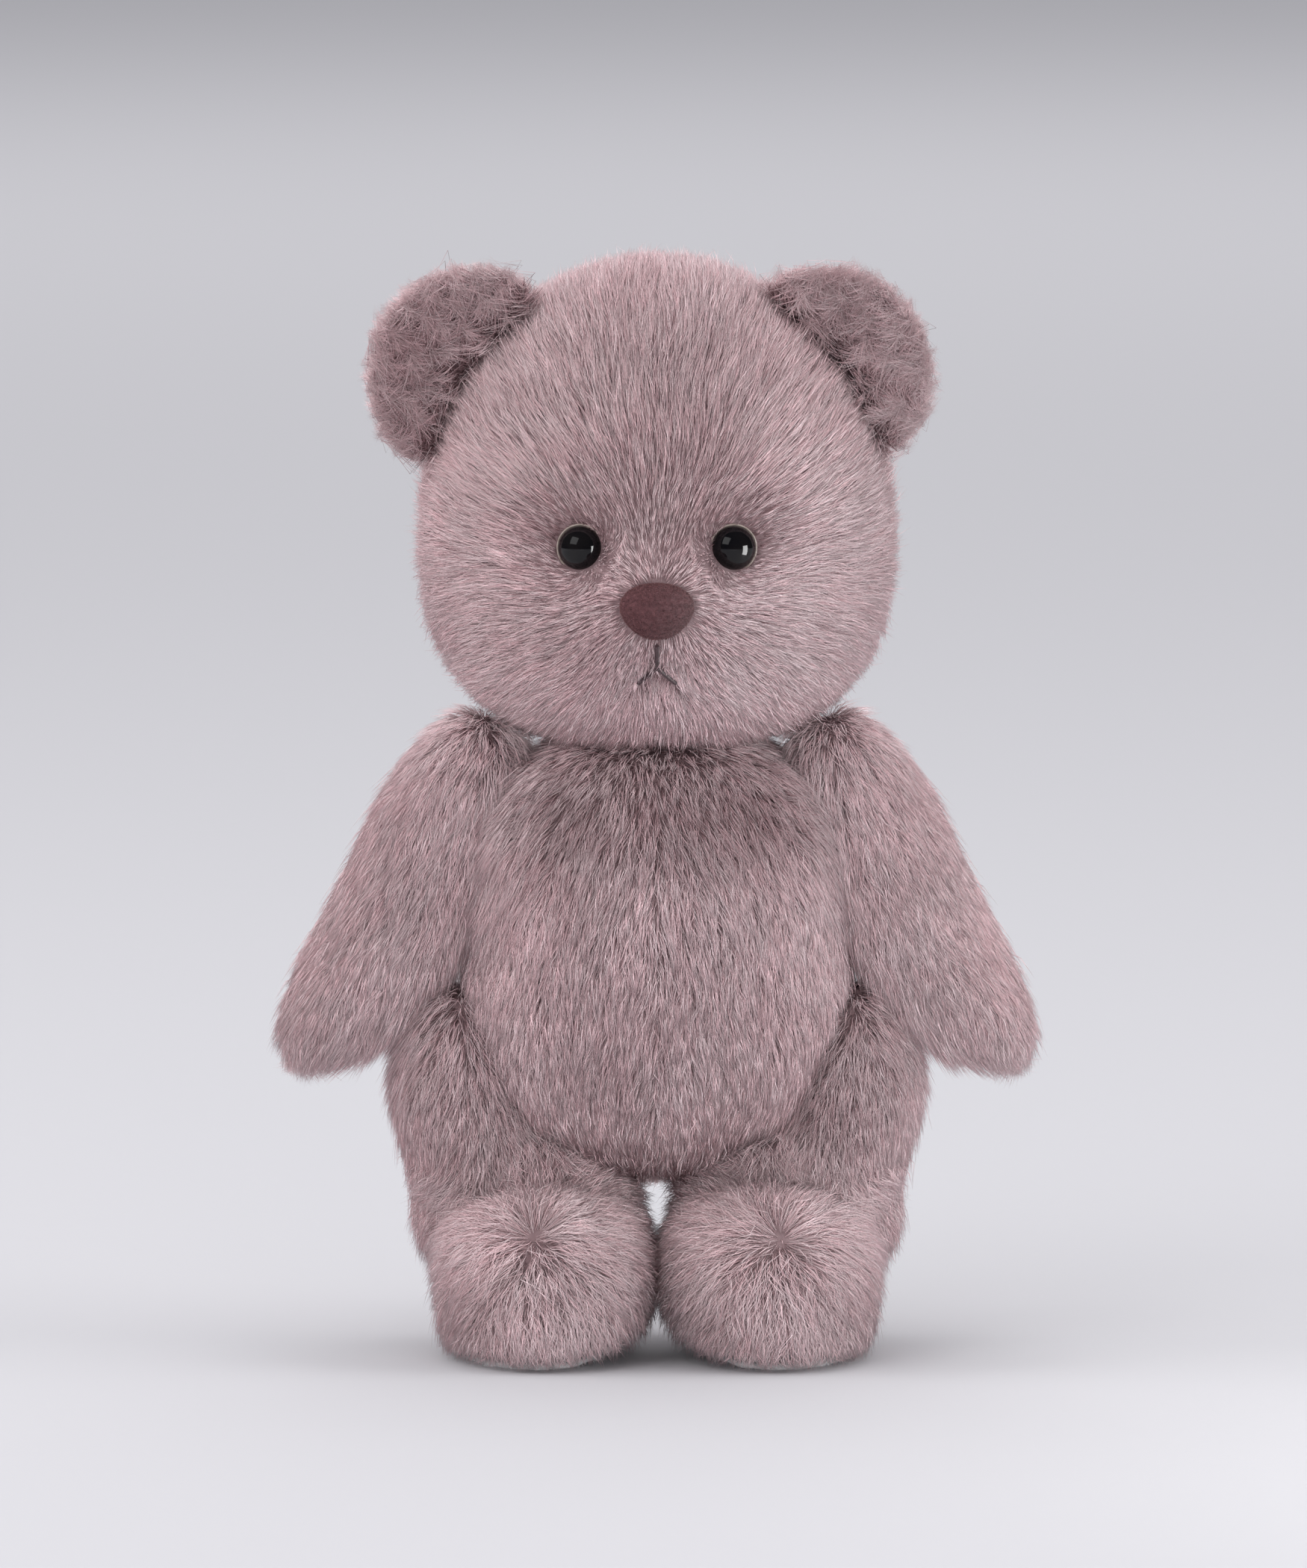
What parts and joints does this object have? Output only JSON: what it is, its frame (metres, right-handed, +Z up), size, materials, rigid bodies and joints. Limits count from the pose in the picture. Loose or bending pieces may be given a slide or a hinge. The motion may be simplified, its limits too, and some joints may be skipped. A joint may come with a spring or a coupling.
{
  "type": "jointed teddy bear",
  "caption": "Plush teddy bear that stands on its own feet, with a head, arms and legs that each turn on a disc joint.",
  "frame": {"origin": "on the floor under the middle of the bear's bounding box", "axes": "+Z up, the bear faces -Y, and its own left side is +X"},
  "size_m": [0.2018, 0.1268, 0.2955],
  "materials": {
    "fur": "long soft plush pile, brushed, matte",
    "stuffing": "loose polyester fibre",
    "sole": "short-pile suede cloth, matte",
    "thread": "stranded embroidery thread",
    "flock": "fine flocked fibre over plastic, velvety",
    "eye": "polished black",
    "rim": "satin",
    "plastic": "moulded, fine grain",
    "board": "pressed fibre board, matte",
    "steel": "zinc plated, satin"
  },
  "bodies": {
    "torso": {"hip_left_body_disc": "plastic", "hip_left_body_washer": "steel", "hip_left_lock_nut": "steel", "hip_right_body_disc": "plastic", "hip_right_body_washer": "steel", "hip_right_lock_nut": "steel", "neck_body_disc": "plastic", "neck_body_washer": "steel", "neck_lock_nut": "steel", "shoulder_left_body_disc": "plastic", "shoulder_left_body_washer": "steel", "shoulder_left_lock_nut": "steel", "shoulder_right_body_disc": "plastic", "shoulder_right_body_washer": "steel", "shoulder_right_lock_nut": "steel", "torso_fur_skin": "fur", "torso_stuffing": "stuffing"},
    "head": {"ear_left": "fur", "ear_right": "fur", "eye_left": "eye", "eye_right": "eye", "eye_rim_left": "rim", "eye_rim_right": "rim", "eye_washer_left": "plastic", "eye_washer_right": "plastic", "head_fur_skin": "fur", "head_stuffing": "stuffing", "mouth_thread": "thread", "neck_bolt": "steel", "neck_head_disc": "plastic", "neck_head_washer": "steel", "nose": "flock", "nose_washer": "plastic"},
    "arm_left": {"arm_left_fur_skin": "fur", "arm_left_stuffing": "stuffing", "shoulder_left_arm_disc": "plastic", "shoulder_left_arm_washer": "steel", "shoulder_left_bolt": "steel"},
    "arm_right": {"arm_right_fur_skin": "fur", "arm_right_stuffing": "stuffing", "shoulder_right_arm_disc": "plastic", "shoulder_right_arm_washer": "steel", "shoulder_right_bolt": "steel"},
    "leg_left": {"hip_left_bolt": "steel", "hip_left_leg_disc": "plastic", "hip_left_leg_washer": "steel", "insole_board_left": "board", "leg_left_fur_skin": "fur", "leg_left_stuffing": "stuffing", "sole_pad_left": "sole"},
    "leg_right": {"hip_right_bolt": "steel", "hip_right_leg_disc": "plastic", "hip_right_leg_washer": "steel", "insole_board_right": "board", "leg_right_fur_skin": "fur", "leg_right_stuffing": "stuffing", "sole_pad_right": "sole"}
  },
  "joints": [
    {"name": "neck", "type": "hinge", "parent": "torso", "child": "head", "pos_m": [0, 0.00877, 0.1665], "axis": [0, 0, 1], "continuous": true},
    {"name": "shoulder_left", "type": "hinge", "parent": "torso", "child": "arm_left", "pos_m": [0.03927, 0.00877, 0.147], "axis": [-0.9135, 0, -0.4067], "range_deg": [-90, 110]},
    {"name": "shoulder_right", "type": "hinge", "parent": "torso", "child": "arm_right", "pos_m": [-0.03927, 0.00877, 0.147], "axis": [-0.9135, 0, 0.4067], "range_deg": [-90, 110]},
    {"name": "hip_left", "type": "hinge", "parent": "torso", "child": "leg_left", "pos_m": [0.04427, 0.00877, 0.082], "axis": [-0.9397, 0, 0.342], "range_deg": [-60, 80]},
    {"name": "hip_right", "type": "hinge", "parent": "torso", "child": "leg_right", "pos_m": [-0.04427, 0.00877, 0.082], "axis": [-0.9397, 0, -0.342], "range_deg": [-60, 80]}
  ]
}
